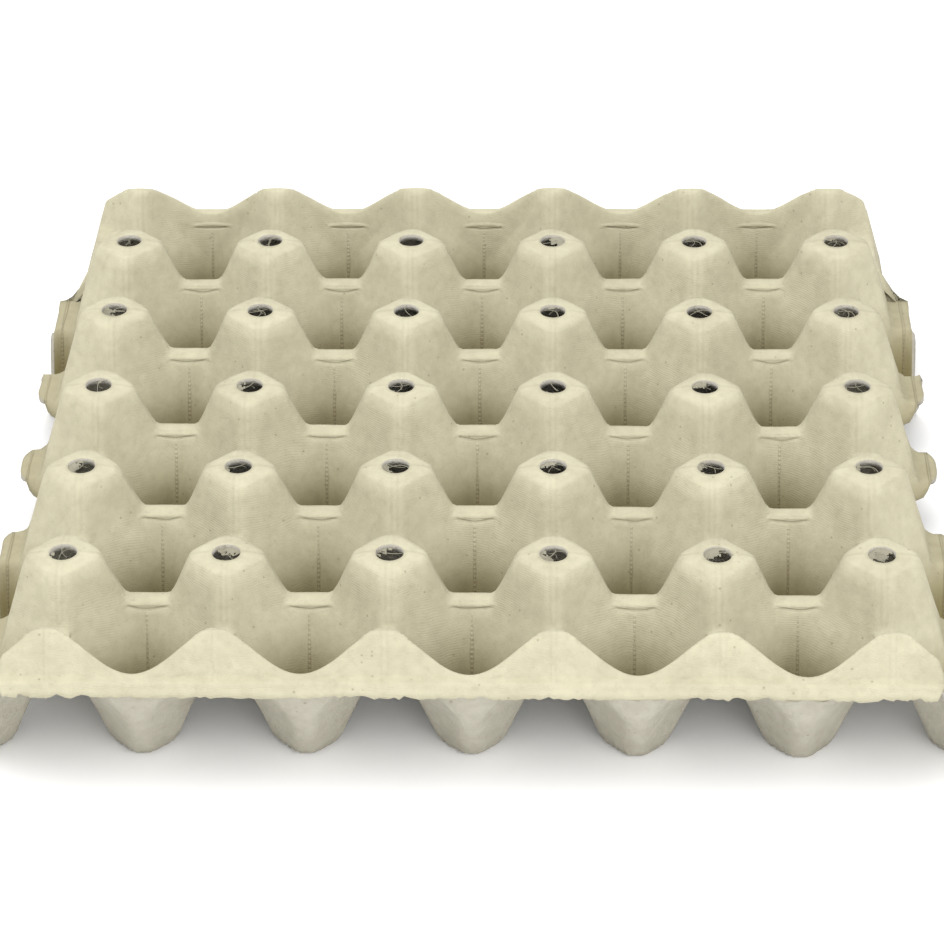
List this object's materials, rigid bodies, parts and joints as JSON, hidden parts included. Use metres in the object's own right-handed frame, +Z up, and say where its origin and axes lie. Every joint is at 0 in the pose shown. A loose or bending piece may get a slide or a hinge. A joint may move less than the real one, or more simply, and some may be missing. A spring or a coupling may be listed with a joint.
{
  "type": "pulp egg tray",
  "caption": "Square moulded pulp tray: deep egg cups between hollow vented posts, flat rims front and back, finger notches at the sides.",
  "frame": {"origin": "middle of the footprint, on the floor under the cups", "axes": "+X across the row of fewer cups, +Y from the front rim to the back rim, +Z up"},
  "size_m": [0.294, 0.292, 0.05],
  "materials": {
    "pulp": "matte, fibrous"
  },
  "bodies": {
    "root": {"tray": "pulp"}
  },
  "joints": []
}
